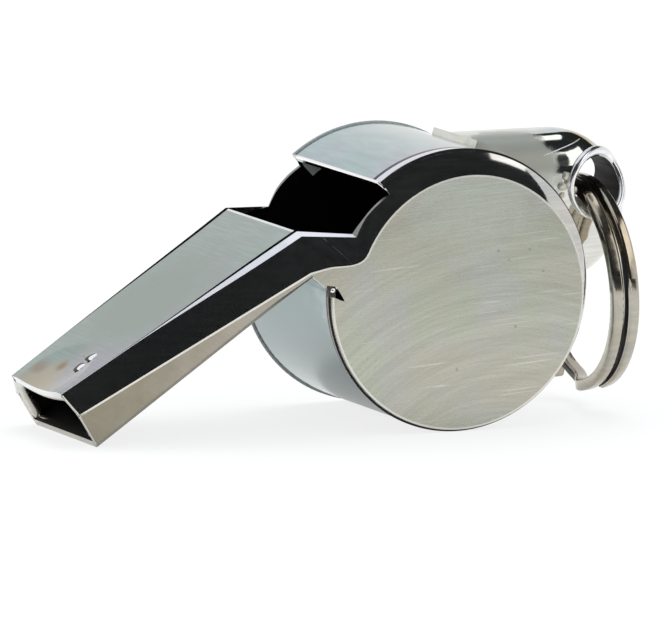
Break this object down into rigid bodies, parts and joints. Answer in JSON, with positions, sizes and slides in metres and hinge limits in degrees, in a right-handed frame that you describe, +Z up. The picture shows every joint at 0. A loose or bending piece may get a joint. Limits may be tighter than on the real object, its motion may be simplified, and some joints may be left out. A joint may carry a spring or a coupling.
{
  "type": "sports whistle",
  "caption": "Sheet-metal pea whistle with a bevelled drum, a tapering mouthpiece, a loose cork pea, and a lanyard lug that carries a swinging split ring.",
  "frame": {"origin": "on the table, under the middle of the whistle's length and width", "axes": "+X from the mouthpiece towards the lanyard ring, +Y across to the left cheek, +Z up from the table"},
  "size_m": [0.0538, 0.0186, 0.024],
  "materials": {
    "satin_nickel": "nickel plate, finely brushed",
    "bright_nickel": "nickel plate, polished",
    "ring_nickel": "nickel-plated spring wire",
    "cork": "turned cork"
  },
  "bodies": {
    "body": {"right_cheek": "satin_nickel", "left_cheek": "satin_nickel", "drum_band": "bright_nickel", "mouthpiece_roof": "bright_nickel", "mouthpiece_floor": "bright_nickel", "lanyard_lug": "bright_nickel"},
    "ring": {"split_ring": "ring_nickel"},
    "pea": {"cork_pea": "cork"}
  },
  "joints": [
    {"name": "ring_swing", "type": "hinge", "parent": "body", "child": "ring", "pos_m": [0.02338, 0, 0.0194], "axis": [0, -1, 0], "range_deg": [-12, 235]},
    {"name": "pea_orbit", "type": "hinge", "parent": "body", "child": "pea", "pos_m": [0.00778, 0, 0.012], "axis": [0, 1, 0], "continuous": true}
  ]
}
